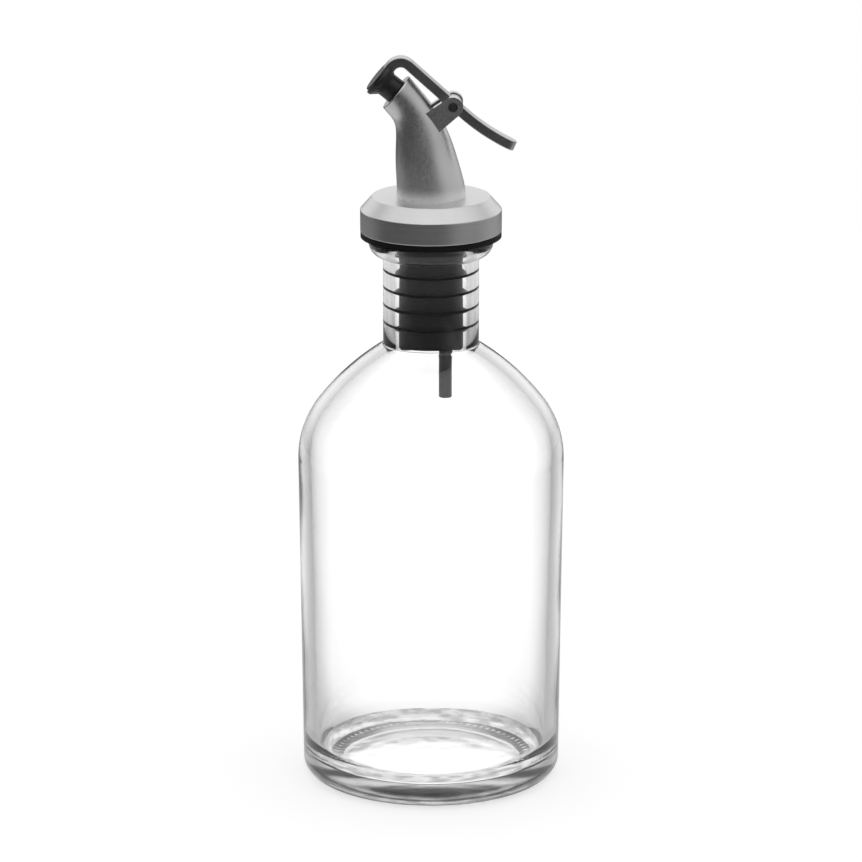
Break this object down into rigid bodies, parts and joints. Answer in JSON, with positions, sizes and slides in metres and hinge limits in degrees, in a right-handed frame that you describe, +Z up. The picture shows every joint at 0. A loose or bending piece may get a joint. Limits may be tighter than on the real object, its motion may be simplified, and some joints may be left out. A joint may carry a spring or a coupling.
{
  "type": "glass cruet",
  "caption": "Clear glass oil and vinegar cruet with a ribbed rubber stopper, a bevelled metal cap, a curved cast pouring spout and a bent lever that lifts a rubber plug off the mouth.",
  "frame": {"origin": "middle of the ring on the underside that the bottle stands on", "axes": "+Z up through the bottle's axis, the spout pours towards -X, the lever's tail points to +X, +Y across the hinge"},
  "size_m": [0.0652, 0.0652, 0.1808],
  "materials": {
    "glass": "clear, smooth, blown in a mould",
    "stopper_rubber": "black, smooth moulded",
    "tube_plastic": "dark grey, drawn",
    "cap_metal": "satin, turned",
    "spout_metal": "satin, cast and tumbled",
    "pin_steel": "plain steel",
    "lever_metal": "satin, bent bar",
    "plug_rubber": "black, matt moulded"
  },
  "bodies": {
    "bottle": {"glass_bottle": "glass", "stopper": "stopper_rubber", "breather_tube": "tube_plastic", "cap": "cap_metal", "spout": "spout_metal", "hinge_pin": "pin_steel"},
    "lever": {"lever": "lever_metal", "plug": "plug_rubber"}
  },
  "joints": [
    {"name": "lever_hinge", "type": "hinge", "parent": "bottle", "child": "lever", "pos_m": [0.00529, 0, 0.1691], "axis": [0, 1, 0], "range_deg": [0, 35]}
  ]
}
